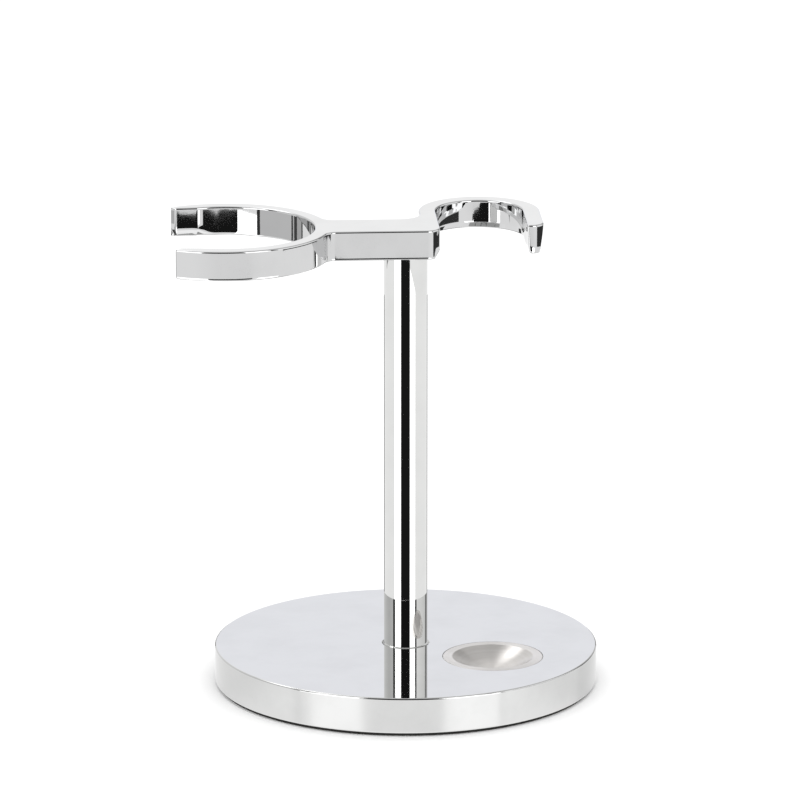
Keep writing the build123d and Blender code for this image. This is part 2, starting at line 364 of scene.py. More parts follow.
dish_low, dish_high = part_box("razor_dish")
dish_centre = (dish_low + dish_high) / 2
make_turned_steel(dish_centre)
make_hardware("zinc_steel", (0.62, 0.63, 0.66), (0.55, 0.54, 0.48), 0.26, 0.42)
make_hardware("spring_steel", (0.10, 0.10, 0.11), (0.16, 0.14, 0.12), 0.38, 0.55)
make_pad_rubber()
print("materials:", sorted(MATERIALS))

# %% [markdown]
# ## Round pieces from one lathe
#
# The column, the dish, the pad and the rod's core are all profiles turned about an axis, so one
# Geometry Nodes tree is the lathe. It takes the profile as a chain of edges, sweeps it round a
# circle, merges what meets on the axis, moves it to its place and can roughen the skin with a
# seeded noise. The profile is drawn in X and Y: X is the radius less the circle's own radius,
# and Y is the height upside down, because that is how Curve to Mesh lays a profile on a circle.
# The swept skin's normals face the axis, so the pits move along them and stay inside the size.


# %% The lathe tree
LATHE_RADIUS = 0.1
PIT_SEED = 0.0


def make_lathe_tree():
    tree, given, out = new_group(
        "lathe", "GeometryNodeTree",
        [("Profile", "NodeSocketGeometry", None), ("Segments", "NodeSocketInt", 256),
         ("Place", "NodeSocketVector", None), ("Pitting", "NodeSocketFloat", 0.0),
         ("Pit Size", "NodeSocketFloat", 1500.0), ("Seed", "NodeSocketFloat", PIT_SEED),
         ("Finish", "NodeSocketMaterial", None)],
        [("Geometry", "NodeSocketGeometry")])
    outline = node(tree, "GeometryNodeMeshToCurve")
    circle = node(tree, "GeometryNodeCurvePrimitiveCircle", Radius=LATHE_RADIUS)
    sweep = node(tree, "GeometryNodeCurveToMesh")
    merge = node(tree, "GeometryNodeMergeByDistance", Distance=1e-7)
    move = node(tree, "GeometryNodeSetPosition")
    smooth = node(tree, "GeometryNodeSetShadeSmooth")
    realize = node(tree, "GeometryNodeRealizeInstances")
    finish = node(tree, "GeometryNodeSetMaterial")
    pits = node(tree, "ShaderNodeTexNoise", noise_dimensions="4D", Detail=3.0)
    normal = node(tree, "GeometryNodeInputNormal")
    inward = node(tree, "ShaderNodeVectorMath", operation="SCALE")
    shift = node(tree, "ShaderNodeVectorMath", operation="ADD")
    links = tree.links
    links.new(given.outputs["Profile"], outline.inputs["Mesh"])
    links.new(given.outputs["Segments"], circle.inputs["Resolution"])
    links.new(circle.outputs["Curve"], sweep.inputs["Curve"])
    links.new(outline.outputs["Curve"], sweep.inputs["Profile Curve"])
    links.new(sweep.outputs["Mesh"], merge.inputs["Geometry"])
    links.new(merge.outputs["Geometry"], move.inputs["Geometry"])
    links.new(given.outputs["Pit Size"], pits.inputs["Scale"])
    links.new(given.outputs["Seed"], pits.inputs["W"])
    depth = maths(tree, "MULTIPLY", pits.outputs["Fac"], given.outputs["Pitting"])
    links.new(normal.outputs["Normal"], inward.inputs[0])
    links.new(depth, inward.inputs["Scale"])
    links.new(inward.outputs["Vector"], shift.inputs[0])
    links.new(given.outputs["Place"], shift.inputs[1])
    links.new(shift.outputs["Vector"], move.inputs["Offset"])
    links.new(move.outputs["Geometry"], smooth.inputs["Geometry"])
    links.new(smooth.outputs["Geometry"], realize.inputs["Geometry"])
    links.new(realize.outputs["Geometry"], finish.inputs["Geometry"])
    links.new(given.outputs["Finish"], finish.inputs["Material"])
    links.new(finish.outputs["Geometry"], out.inputs["Geometry"])
    return tree


lathe_tree = make_lathe_tree()
print("tree", lathe_tree.name, "with", len(lathe_tree.nodes), "nodes")

# %% [markdown]
# A tree is run by a modifier on a starting mesh. Its inputs are set by their identifiers, the
# evaluated result is copied into a plain mesh, and the modifier goes, so that each piece ends
# as an ordinary mesh. Edges that turn by more than 30 degrees stay sharp in the shading.

# %% Running a tree and keeping its mesh
SHARP = math.radians(30)


def grow(name, tree, start, settings):
    """Runs a Geometry Nodes tree on a starting mesh and keeps the result as a plain mesh."""
    grown = bpy.data.objects.new(name, start)
    bpy.context.scene.collection.objects.link(grown)
    modifier = grown.modifiers.new("grow", "NODES")
    modifier.node_group = tree
    sockets = {item.name: item.identifier for item in tree.interface.items_tree
               if item.in_out == "INPUT"}
    for label, value in settings.items():
        modifier[sockets[label]] = value
    bpy.context.view_layer.update()
    graph = bpy.context.evaluated_depsgraph_get()
    mesh = bpy.data.meshes.new_from_object(grown.evaluated_get(graph))
    mesh.name = name
    grown.modifiers.remove(modifier)
    grown.data = mesh
    bpy.data.meshes.remove(start)
    return grown


def turned(name, profile, finish, place=(0, 0, 0), segments=256, closed=True, **more):
    """A lathe part. The profile is a list of (radius, height) in metres."""
    points = [(radius - LATHE_RADIUS, -height, 0) for radius, height in profile]
    edges = [(i, i + 1) for i in range(len(points) - 1)]
    if closed:
        edges.append((len(points) - 1, 0))
    start = bpy.data.meshes.new(name + "_profile")
    start.from_pydata(points, edges, [])
    made = grow(name, lathe_tree, start, {"Segments": segments, "Place": place,
                                          "Finish": MATERIALS[finish], **more})
    outward_faces(made.data)
    made.data.set_sharp_from_angle(angle=SHARP)
    spots = np.array([v.co for v in made.data.vertices]) / MM
    print(name, "spans", spots.min(0).round(2), "to", spots.max(0).round(2), "mm,",
          len(made.data.polygons), "faces")
    return made


def outward_faces(mesh):
    """Turns the faces the same way round, outwards."""
    shape = bmesh.new()
    shape.from_mesh(mesh)
    bmesh.ops.recalc_face_normals(shape, faces=shape.faces)
    shape.to_mesh(mesh)
    shape.free()


# %% [markdown]
# ## Rounded edges in a profile
#
# Nothing that was buffed has a knife edge. The helper below walks round a profile's corners and
# replaces each by a small arc, and it puts one more point just before and after the arc: with
# that point the flat stays flat when the shading is smoothed.


# %% Rounding a chain of corners
def eased(corners, steps=5, guard=0.15):
    """Corners are (radius, height, easing); each is rounded, with a guard point on both sides."""
    result = []
    count = len(corners)
    for i, (x, y, ease) in enumerate(corners):
        here = np.array((x, y))
        if ease == 0:
            result.append((x, y))
            continue
        before = np.array(corners[i - 1][:2]) - here
        after = np.array(corners[(i + 1) % count][:2]) - here
        room = min(np.linalg.norm(before), np.linalg.norm(after))
        before, after = before / np.linalg.norm(before), after / np.linalg.norm(after)
        half = math.acos(np.clip(before @ after, -1, 1)) / 2
        reach = ease / math.tan(half)
        middle = here + (before + after) / np.linalg.norm(before + after) * ease / math.sin(half)
        lead = min(reach * (1 + guard), 0.49 * room)
        result.append(tuple(here + before * lead))
        first = here + before * reach - middle
        last = here + after * reach - middle
        swing = math.atan2(first[0] * last[1] - first[1] * last[0], first @ last)
        for step in range(steps + 1):
            angle = swing * step / steps
            turn = np.array(((math.cos(angle), -math.sin(angle)), (math.sin(angle), math.cos(angle))))
            result.append(tuple(middle + turn @ first))
        result.append(tuple(here + after * lead))
    return result


# %% [markdown]
# ## The column, the pad and the tie rod
#
# The column is a plain drawn tube that stands in two shallow sockets. Its ends are only lightly
# deburred. The pad is a disc of foam rubber glued under the base; its rim is roughened by the
# lathe tree's noise, because cut foam is never smooth. The tie rod runs inside the column from
# the arm to the nut and pulls the three big pieces together. It is hidden, but it is real, so
# it gets real threads at both ends.

# %% Column and pad
EDGE_EASE = 0.1 * MM
TUBE_WALL = 1.5 * MM
PAD_RIM = 0.15 * MM
PAD_FLAT = 0.92
PAD_PITS = 0.08 * MM


def make_column():
    low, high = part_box("column")
    radius = high.x
    bore = radius - TUBE_WALL
    corners = [(bore, low.z, EDGE_EASE), (radius, low.z, EDGE_EASE),
               (radius, high.z, EDGE_EASE), (bore, high.z, EDGE_EASE)]
    return turned("column_tube", eased(corners), "chrome_tube")


def make_pad():
    low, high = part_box("foot_pad")
    flat = PAD_FLAT * high.x
    corners = [(0, low.z, 0), (flat, low.z, 0), (high.x, low.z, PAD_RIM),
               (high.x, high.z, PAD_RIM), (flat, high.z, 0), (0, high.z, 0)]
    return turned("pad_disc", eased(corners), "pad_rubber", segments=720, closed=False,
                  Pitting=PAD_PITS)


column = make_column()
pad = make_pad()

# %% [markdown]
# A screw thread is one ridge on a helix. A spiral curve with a small triangle swept along it
# gives the ridge, and the tree joins it to the plain core. The pitch is the standard one for
# a 5 mm screw, and the same tree makes the long lower thread and the short upper one.

# %% Tie rod with its threads
THREAD_PITCH = 0.8 * MM
THREAD_DEPTH = 0.45 * MM
ROD_BEVEL = 0.4 * MM
THREAD_PAST_NUT = 3 * MM
THREAD_BELOW_ARM = 2 * MM


def make_thread_tree():
    tree, given, out = new_group(
        "thread", "GeometryNodeTree",
        [("Core", "NodeSocketGeometry", None), ("Turns", "NodeSocketFloat", 10.0),
         ("Root Radius", "NodeSocketFloat", 0.002), ("Length", "NodeSocketFloat", 0.008),
         ("Depth", "NodeSocketFloat", 0.0004), ("Start", "NodeSocketVector", None),
         ("Finish", "NodeSocketMaterial", None)],
        [("Geometry", "NodeSocketGeometry")])
    helix = node(tree, "GeometryNodeCurveSpiral", Resolution=32)
    ridge = node(tree, "GeometryNodeCurvePrimitiveCircle", Resolution=3)
    sweep = node(tree, "GeometryNodeCurveToMesh", Fill_Caps=True)
    move = node(tree, "GeometryNodeTransform")
    join = node(tree, "GeometryNodeJoinGeometry")
    realize = node(tree, "GeometryNodeRealizeInstances")
    finish = node(tree, "GeometryNodeSetMaterial")
    links = tree.links
    links.new(given.outputs["Turns"], helix.inputs["Rotations"])
    links.new(given.outputs["Root Radius"], helix.inputs["Start Radius"])
    links.new(given.outputs["Root Radius"], helix.inputs["End Radius"])
    links.new(given.outputs["Length"], helix.inputs["Height"])
    links.new(given.outputs["Depth"], ridge.inputs["Radius"])
    links.new(helix.outputs["Curve"], sweep.inputs["Curve"])
    links.new(ridge.outputs["Curve"], sweep.inputs["Profile Curve"])
    links.new(sweep.outputs["Mesh"], move.inputs["Geometry"])
    links.new(given.outputs["Start"], move.inputs["Translation"])
    links.new(given.outputs["Core"], join.inputs["Geometry"])
    links.new(move.outputs["Geometry"], join.inputs["Geometry"])
    links.new(join.outputs["Geometry"], realize.inputs["Geometry"])
    links.new(realize.outputs["Geometry"], finish.inputs["Geometry"])
    links.new(given.outputs["Finish"], finish.inputs["Material"])
    links.new(finish.outputs["Geometry"], out.inputs["Geometry"])
    return tree


def make_tie_rod():
    low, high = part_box("tie_rod")
    nut_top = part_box("clamping_nut")[1].z
    column_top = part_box("column")[1].z
    root = high.x - THREAD_DEPTH
    first, last = low.z + ROD_BEVEL, high.z - ROD_BEVEL
    tip = root - ROD_BEVEL
    rod = turned("tie_rod_plain", [(0, low.z), (tip, low.z), (root, first), (root, last),
                                   (tip, high.z), (0, high.z)],
                 "zinc_steel", segments=48, closed=False)
    tree = make_thread_tree()
    for start, end in ((first, nut_top + THREAD_PAST_NUT), (column_top - THREAD_BELOW_ARM, last)):
        plain = rod.data.copy()
        bpy.data.objects.remove(rod)
        rod = grow("tie_rod_threaded", tree, plain, {
            "Turns": (end - start) / THREAD_PITCH, "Root Radius": root, "Length": end - start,
            "Depth": THREAD_DEPTH, "Start": (0, 0, start), "Finish": MATERIALS["zinc_steel"]})
    print("tie rod:", len(rod.data.polygons), "faces")
    return rod


tie_rod = make_tie_rod()

# %% [markdown]
# ## The dish
#
# The dish that takes the foot of the razor is a turned insert. It sits in a pocket of the base,
# with its flat rim level with the base's top. Its bowl is a shallow part of a sphere.
# It is one more lathe profile, but its axis is not the stand's, so the tree's Place moves it.


# %% Razor dish
BOWL_RADIUS = 9.3 * MM
BOWL_DEPTH = 3.0 * MM
BOWL_LIP = 0.3 * MM
DISH_EDGE = 0.15 * MM
RIM_GUARD = 0.1 * MM


def arc(centre_x, centre_y, radius, start, end, steps):
    """Points on an arc, angles in radians."""
    return [(centre_x + radius * math.cos(start + (end - start) * i / steps),
             centre_y + radius * math.sin(start + (end - start) * i / steps))
            for i in range(steps + 1)]


def make_dish():
    low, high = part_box("razor_dish")
    radius = (high.x - low.x) / 2
    sphere = (BOWL_RADIUS ** 2 + BOWL_DEPTH ** 2) / (2 * BOWL_DEPTH)
    sphere_height = high.z - BOWL_DEPTH + sphere
    start = -math.pi / 2
    lip_height = high.z - BOWL_LIP
    across = math.sqrt((sphere + BOWL_LIP) ** 2 - (sphere_height - lip_height) ** 2)
    end = math.atan2(lip_height - sphere_height, across)
    bowl = arc(0, sphere_height, sphere, start, end, 40)
    lip_arc = arc(across, lip_height, BOWL_LIP, end + math.pi, math.pi / 2, 8)
    rim = eased([(across, high.z, 0), (radius, high.z, DISH_EDGE), (radius, low.z, DISH_EDGE),
                 (0, low.z, 0)])
    profile = bowl + lip_arc[1:] + [(across + RIM_GUARD, high.z)] + rim[1:]
    return turned("dish_insert", profile, "turned_steel",
                  place=(dish_centre.x, dish_centre.y, 0), segments=288, closed=False)


dish = make_dish()

# %% [markdown]
# ## A skin for the pieces that are not round
#
# The base has a pocket beside its axis, and the arm follows an outline, so neither comes off
# the lathe tree. Both are skins between loops of points. A mirror needs exact normals, so the
# skin keeps the true normal of every point and gives it to the mesh as a custom normal, while
# a flat face keeps its own. A flat face with holes is filled by tessellate_polygon.


# %% Skin builder
class Skin:
    def __init__(self):
        self.points = []
        self.normals = []
        self.faces = []
        self.face_normals = []

    def loop(self, points, normals):
        """Adds a closed loop of points with their normals and returns their numbers."""
        start = len(self.points)
        self.points.extend(points)
        self.normals.extend(normals)
        return list(range(start, start + len(points)))

    def face(self, corners, normals):
        self.faces.append(corners)
        self.face_normals.extend(normals)

    def band(self, lower, upper):
        """Quads between two loops of the same count, shaded by the points' normals."""
        count = len(lower)
        for i in range(count):
            j = (i + 1) % count
            corners = (lower[i], lower[j], upper[j], upper[i])
            self.face(corners, [self.normals[c] for c in corners])

    def fill(self, loops, up):
        """A flat face inside the first loop and outside the others."""
        flat = [[Vector(self.points[i]) for i in loop] for loop in loops]
        numbers = [i for loop in loops for i in loop]
        for triangle in tessellate_polygon(flat):
            corners = [numbers[i] for i in triangle]
            a, b, c = (Vector(self.points[i]) for i in corners)
            if (b - a).cross(c - a).z * up < 0:
                corners.reverse()
            self.face(tuple(corners), [(0, 0, up)] * 3)

    def make(self, name, finish):
        mesh = bpy.data.meshes.new(name)
        mesh.from_pydata([tuple(p) for p in self.points], [], self.faces)
        mesh.polygons.foreach_set("use_smooth", [True] * len(mesh.polygons))
        mesh.normals_split_custom_set([tuple(n) for n in self.face_normals])
        mesh.materials.append(MATERIALS[finish])
        made = bpy.data.objects.new(name, mesh)
        bpy.context.scene.collection.objects.link(made)
        print(name, "has", len(mesh.polygons), "faces")
        return made


# %% [markdown]
# ## The base
#
# A heavy steel disc, turned all over: a flat top with a shallow seat for the column and a fine
# chamfer round it, the dish's pocket, and underneath a pocket that hides the nut. Each of those
# is a stack of circles. The circles at the top are joined by one flat face with two holes.


# %% Base disc
BASE_EASE = 0.4 * MM
SEAT_CHAMFER = 0.45 * MM
SEAT_GAP = 0.05 * MM
ROD_GAP = 0.25 * MM
WRENCH_ROOM = 2.2 * MM
DISH_GAP = 0.06 * MM
ROUND_STEPS = 6


def circle_loop(skin, centre, radius, height, tilt, inward=False, count=288, reverse=False):
    """A loop on a circle; tilt is the normal's angle above the horizon."""
    sign = -1 if inward else 1
    angles = [2 * math.pi * i / count for i in range(count)]
    if reverse:
        angles.reverse()
    points = [(centre[0] + radius * math.cos(a), centre[1] + radius * math.sin(a), height)
              for a in angles]
    normals = [(sign * math.cos(a) * math.cos(tilt), sign * math.sin(a) * math.cos(tilt),
                math.sin(tilt)) for a in angles]
    return skin.loop(points, normals)


def stack(skin, centre, profile, inward=False, count=288):
    """A shaft or a pocket wall from (radius, height, tilt) rows; returns its end loops."""
    rows = [circle_loop(skin, centre, *row, inward=inward, count=count, reverse=inward)
            for row in profile]
    for lower, upper in zip(rows, rows[1:]):
        skin.band(lower, upper)
    return rows[0], rows[-1]


def quarter(radius, height, ease, upward):
    """Rows of a rounded rim, from the side to the flat, or from the flat to the side."""
    rows = []
    for step in range(ROUND_STEPS + 1):
        angle = math.pi / 2 * step / ROUND_STEPS
        rows.append((radius - ease * (1 - math.cos(angle)),
                     height - ease * (1 - math.sin(angle)), angle))
    if upward:
        return rows
    return [(r, 2 * height - z, -angle) for r, z, angle in reversed(rows)]


def make_base():
    low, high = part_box("base_disc")
    skin = Skin()
    axis = (0, 0)
    side = quarter(high.x, low.z, BASE_EASE, False) + quarter(high.x, high.z, BASE_EASE, True)
    bottom_edge, top_edge = stack(skin, axis, side, count=720)
    seat_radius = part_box("column")[1].x + SEAT_GAP
    seat_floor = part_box("column")[0].z
    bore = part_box("tie_rod")[1].x + ROD_GAP
    nut_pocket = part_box("clamping_nut")[1].x + WRENCH_ROOM
    pocket_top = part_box("flat_washer")[1].z
    slant = math.pi / 4
    seat_top = high.z - SEAT_CHAMFER
    _, seat_mouth = stack(skin, axis, [(seat_radius, seat_top, slant),
                                       (seat_radius + SEAT_CHAMFER, high.z, slant)], True)
    seat_foot, _ = stack(skin, axis, [(seat_radius, seat_floor, 0), (seat_radius, seat_top, 0)],
                         True)
    passage_foot, passage_top = stack(skin, axis, [(bore, pocket_top, 0), (bore, seat_floor, 0)],
                                      True)
    pocket_foot, pocket_roof = stack(skin, axis, [(nut_pocket, low.z, 0),
                                                  (nut_pocket, pocket_top, 0)], True)
    dish_axis = (dish_centre.x, dish_centre.y)
    dish_radius = (dish_high.x - dish_low.x) / 2 + DISH_GAP
    dish_foot, dish_mouth = stack(skin, dish_axis, [(dish_radius, dish_low.z, 0),
                                                    (dish_radius, high.z, 0)], True)
    skin.fill([top_edge, seat_mouth, dish_mouth], 1)
    skin.fill([seat_foot, passage_top], 1)
    skin.fill([dish_foot], 1)
    skin.fill([pocket_roof, passage_foot], -1)
    skin.fill([bottom_edge, pocket_foot], -1)
    return skin.make("base_plate", "chrome_base")


base = make_base()

# %% [markdown]
# ## The arm's outline
#
# Seen from above the arm is a C-shaped ring for the brush, a straight bridge over the column
# and a U-shaped hook for the razor. The outline is a walk round that shape, in arcs and
# straight runs, with the material on the left. Every point also keeps the direction that faces
# away from the metal, and a name for the stretch that it lies on, for the edges that change on
# the way. The sizes are the CAD model's, and what can be read from the frame is read from it.

# %% Sizes of the arm
arm_low, arm_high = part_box("arm")
ring_x = mounts["brush_ring"]["pos_m"][0]
ring_bore = mounts["brush_ring"]["dims"]["r_mm"] * MM
slot_x, slot_y = mounts["razor_slot"]["pos_m"][:2]
slot_half = mounts["razor_slot"]["dims"]["r_mm"] * MM
RING_WALL = 3.4 * MM
RING_TIP_PLACE = math.radians(60)
RING_FLARE_PLACE = math.radians(74)
RING_TIP_WALL = 1.4 * MM
RING_FILLET = 3.0 * MM
TIP_OUTER = 0.45 * MM
TIP_INNER = 1.2 * MM
BRIDGE_HALF = 6.1 * MM
BRIDGE_CORNER = 3.2 * MM
HOOK_FILLET = 4.9 * MM
HOOK_TIP = 2.0 * MM
HOOK_TIP_CORNER = 3.0 * MM
HOOK_INNER_CORNER = 0.45 * MM
TIP_TURN = 1.4
STEP = 0.22 * MM
ring_outer = ring_bore + RING_WALL
hook_outer = arm_high.x - slot_x
print("ring", round(2 * ring_bore / MM, 2), "mm inside, slot", round(2 * slot_half / MM, 2),
      "mm wide, hook", round(hook_outer / MM, 2), "mm in radius")

# %% [markdown]
# The walk below only knows three moves: a straight line, an arc about a centre, and a corner
# that it rounds. Each move adds its points at an even spacing, under the stretch's name.

# %% Walking the outline
class Walk:
    """An outline under construction: its points, and a name for each point's stretch."""

    def __init__(self):
        self.points = []
        self.names = []

    def add(self, point, name):
        point = np.array(point, float)
        if not self.points or np.linalg.norm(point - self.points[-1]) > 0.01 * MM:
            self.points.append(point)
            self.names.append(name)

    def line(self, start, end, name):
        start, end = np.array(start), np.array(end)
        steps = max(2, round(np.linalg.norm(end - start) / (2 * STEP)))
        for i in range(steps + 1):
            self.add(start + (end - start) * i / steps, name)

    def arc(self, centre, radius, start, end, name):
        """An arc from one angle, in degrees, to the other."""
        start, end = math.radians(start), math.radians(end)
        steps = max(6, round(radius * abs(end - start) / STEP))
        for i in range(steps + 1):
            angle = start + (end - start) * i / steps
            way = np.array((math.cos(angle), math.sin(angle)))
            self.add(np.array(centre) + radius * way, name)

    def corner(self, corner, before, after, radius, name):
        """Rounds a corner that turns left, between two directions of travel."""
        before, after = before / np.linalg.norm(before), after / np.linalg.norm(after)
        half = math.acos(np.clip(before @ after, -1, 1)) / 2
        inside = (after - before) / np.linalg.norm(after - before)
        start = math.degrees(math.atan2(-before[0], before[1]))
        self.arc(corner + inside * radius / math.cos(half), radius, start,
                 start + math.degrees(2 * half), name)
        return radius * math.tan(half)


# %% [markdown]
# The ring's two tips are mirror images. At each, the round bore runs out into an almost straight
# inner side, and a slanted end face closes the tip, with a small outer and a larger inner
# rounding. The tip is walked once, at the rear, and the same walk turned over and run backwards
# makes the front one.


# %% Tips of the ring
def ring_point(radius, place):
    """A point on a circle about the ring's centre, by its angle from -X."""
    return np.array((ring_x - radius * math.cos(place), radius * math.sin(place)))


def tip_walk():
    tip = math.pi - RING_TIP_PLACE
    outer = ring_point(ring_outer, RING_TIP_PLACE)
    flare = ring_point(ring_bore, RING_FLARE_PLACE)
    slope = (flare[1] - (outer[1] - RING_TIP_WALL)) / (flare[0] - outer[0])
    reach = RING_TIP_WALL / (1 + slope)
    inner = outer + np.array((reach, -reach))
    end_face = np.array((1.0, -1.0))
    walk = Walk()
    along = np.array((-math.sin(tip), math.cos(tip)))
    walk.corner(outer, along, end_face, TIP_OUTER, "tip")
    trim = walk.corner(inner, end_face, flare - inner, TIP_INNER, "tip")
    run = (flare - inner) / np.linalg.norm(flare - inner)
    walk.line(inner + run * trim, flare, "bore")
    return walk


# %% [markdown]
# The walk starts at the front of the bridge and goes once round, by the slot, the free leg, the
# back of the hook and the bridge's rear to the ring, and home by the ring's two tips.

# %% The whole outline
def arm_walk():
    walk = Walk()
    bridge_end = slot_x - slot_half
    leg_end = slot_x + slot_half
    corner_x = bridge_end - BRIDGE_CORNER
    corner_y = BRIDGE_CORNER - BRIDGE_HALF
    rise = BRIDGE_HALF + RING_FILLET
    spread = math.sqrt((ring_outer + RING_FILLET) ** 2 - rise ** 2)
    root = math.degrees(math.atan2(rise, spread))
    root_x = ring_x + spread
    tip = 180 - math.degrees(RING_TIP_PLACE) - TIP_TURN
    flare = 180 - math.degrees(RING_FLARE_PLACE)
    slot = (slot_x, slot_y)
    near_side = slot_x - hook_outer
    walk.line((root_x, -BRIDGE_HALF), (corner_x, -BRIDGE_HALF), "bridge")
    walk.arc((corner_x, corner_y), BRIDGE_CORNER, -90, 0, "bridge_corner")
    walk.line((bridge_end, corner_y), (bridge_end, slot_y), "slot_near")
    walk.arc(slot, slot_half, 180, 0, "slot_end")
    ease = HOOK_INNER_CORNER
    outer_corner_x = arm_high.x - HOOK_TIP_CORNER
    walk.line((leg_end, slot_y), (leg_end, ease - HOOK_TIP), "slot_far")
    walk.arc((leg_end + ease, ease - HOOK_TIP), ease, 180, 270, "leg_tip")
    walk.line((leg_end + ease, -HOOK_TIP), (outer_corner_x, -HOOK_TIP), "leg_tip")
    walk.arc((outer_corner_x, HOOK_TIP_CORNER - HOOK_TIP), HOOK_TIP_CORNER, -90, 0, "leg_side")
    walk.line((arm_high.x, HOOK_TIP_CORNER - HOOK_TIP), (arm_high.x, slot_y), "leg_side")
    walk.arc(slot, hook_outer, 0, 90, "leg_side")
    walk.arc(slot, hook_outer, 90, 180, "hook")
    fillet_y = BRIDGE_HALF + HOOK_FILLET
    walk.line((near_side, slot_y), (near_side, fillet_y), "hook")
    walk.arc((near_side - HOOK_FILLET, fillet_y), HOOK_FILLET, 0, -90, "hook")
    walk.line((near_side - HOOK_FILLET, BRIDGE_HALF), (root_x, BRIDGE_HALF), "bridge")
    walk.arc((root_x, rise), RING_FILLET, -90, root - 180, "root")
    walk.arc((ring_x, 0), ring_outer, root, tip, "ring")
    rear_tip = tip_walk()
    for point, name in zip(rear_tip.points, rear_tip.names):
        walk.add(point, name)
    walk.arc((ring_x, 0), ring_bore, flare, -flare, "bore")
    for point, name in zip(reversed(rear_tip.points), reversed(rear_tip.names)):
        walk.add(point * (1, -1), name)
    walk.arc((ring_x, 0), ring_outer, -tip, -root, "ring")
    walk.arc((root_x, -rise), RING_FILLET, 180 - root, 90, "root")
    return walk


outline = arm_walk()
print("the arm's outline has", len(outline.points), "points")

# %% [markdown]
# ## The arm's sides
#
# The outline is lifted through rows of heights. At the bottom and the top each row is drawn in
# a little, which rounds both edges. Three stretches do more. The slot's lower edge opens
# outwards, the free leg leans in and narrows towards a rounded foot, and the ring's bore is
# relieved below, most of all at the tips, where a brush slides in. Each is an extra draw-in that
# depends on the place and the height, so the whole arm stays one grid of rows, and the normals
# come from the grid itself. The foot's corner is smaller than its draw-in, so there the points
# are shifted together, which keeps the corner's shape, instead of each along its own normal.

# %% How far each side is drawn in
EDGE = 0.4 * MM
FLARE_HEIGHT = 1.6 * MM
FLARE_ROUND = 2.4 * MM
FLARE_NEAR = 1.2 * MM
FLARE_FAR = 0.3 * MM
LEG_DRAFT = math.tan(math.radians(9))
LEG_TAPER = math.tan(math.radians(3.2))
LEG_FOOT = 1.8 * MM
LEG_FOOT_DRAW = 0.5 * MM
RELIEF_TIP = 3.2 * MM
RELIEF_BORE = 1.1 * MM
RELIEF_DEPTH = 0.3


def fade(value, start, end):
    """A smooth step from 0 at start to 1 at end."""
    share = np.clip((value - start) / (end - start), 0, 1)
    return share * share * (3 - 2 * share)


def flare_width(point, outward, name):
    """How much the slot's lower edge opens at this place."""
    if name == "slot_near":
        return FLARE_NEAR
    if name == "slot_far":
        return FLARE_FAR * fade(point[1], -1 * MM, 5 * MM)
    if name == "slot_end":
        mean = (FLARE_NEAR + FLARE_FAR) / 2
        swing = (FLARE_NEAR - FLARE_FAR) / 2
        return mean + swing * (outward[0] - outward[1])
    if name == "bridge_corner":
        room = BRIDGE_CORNER - FLARE_NEAR
        return max(0.0, BRIDGE_CORNER - room / max(outward[0], 0.2))
    return 0.0


def draw_in(point, outward, name, height):
    """The side's extra draw-in at a height above the arm's underside."""
    top = arm_high.z - arm_low.z - EDGE
    slanted = np.clip(1 - height / FLARE_HEIGHT, 0, 1)
    rounded = np.clip(1 - height / FLARE_ROUND, 0, 1) ** 2
    along_slot = fade(point[1], 2 * MM, 12 * MM)
    open_share = rounded + (slanted - rounded) * along_slot
    amount = flare_width(point, outward, name) * open_share
    if name == "leg_side" and outward[0] > 0.3:
        lean = max(0.0, top - height) * LEG_DRAFT
        inner_x = point[0] - (arm_high.x - lean)
        amount += max(0.0, inner_x) / outward[0]
    if name in ("bore", "tip"):
        from_centre = point[0] - ring_x
        towards_tip = fade(-from_centre, 1.5 * MM, 6.5 * MM)
        towards_root = fade(from_centre, 3.5 * MM, 9.0 * MM)
        tall = RELIEF_BORE * (1 - towards_root) + (RELIEF_TIP - RELIEF_BORE) * towards_tip
        inner_side = fade(-outward[1] * np.sign(point[1]), 0.1, 0.8)
        if tall > height:
            amount += RELIEF_DEPTH * (tall - height) ** 2 / tall * inner_side
    return amount


def leg_shift(point, name, height):
    """How far a point of the free leg moves towards the middle of its foot."""
    if name not in ("leg_side", "leg_tip", "slot_far"):
        return (0.0, 0.0)
    inner = slot_x + slot_half
    side = 1 - 2 * np.clip((point[0] - inner) / (arm_high.x - inner), 0, 1)
    below = np.clip(1 - height / LEG_FOOT, 0, 1)
    foot = LEG_FOOT_DRAW * (1 - math.sqrt(1 - below ** 2))
    taper = max(0.0, arm_high.z - arm_low.z - EDGE - height) * LEG_TAPER
    at_tip = 1 - fade(point[1], 2 * MM, 9 * MM)
    at_end = 1 - fade(point[1], 0, 4 * MM)
    return (at_tip * (side * foot + max(0.0, side) * taper), at_end * foot)


# %% [markdown]
# The rows are closest where the side turns: round both edges, at the crease of the flare and
# over the relief. The plain upper part of the wall needs only a few.

# %% Building the arm
EDGE_STEPS = 7
ROW_HEIGHTS_MM = (0.6, 0.8, 1.0, 1.25, 1.45, 1.55, 1.65, 1.9, 2.3, 2.7, 3.05, 3.25, 3.6, 4.4,
                  5.4, 6.2)
ROD_HOLE_SPARE = 0.5 * MM


def arm_rows():
    """(draw-in, height) of each row above the arm's underside, from the bottom to the top."""
    height = arm_high.z - arm_low.z
    turn = [math.pi / 2 * i / EDGE_STEPS for i in range(EDGE_STEPS + 1)]
    bottom = [(EDGE * (1 - math.sin(a)), EDGE * (1 - math.cos(a))) for a in turn]
    walls = [(0.0, h * MM) for h in ROW_HEIGHTS_MM]
    top = [(draw, height - z) for draw, z in reversed(bottom)]
    return bottom + walls + top


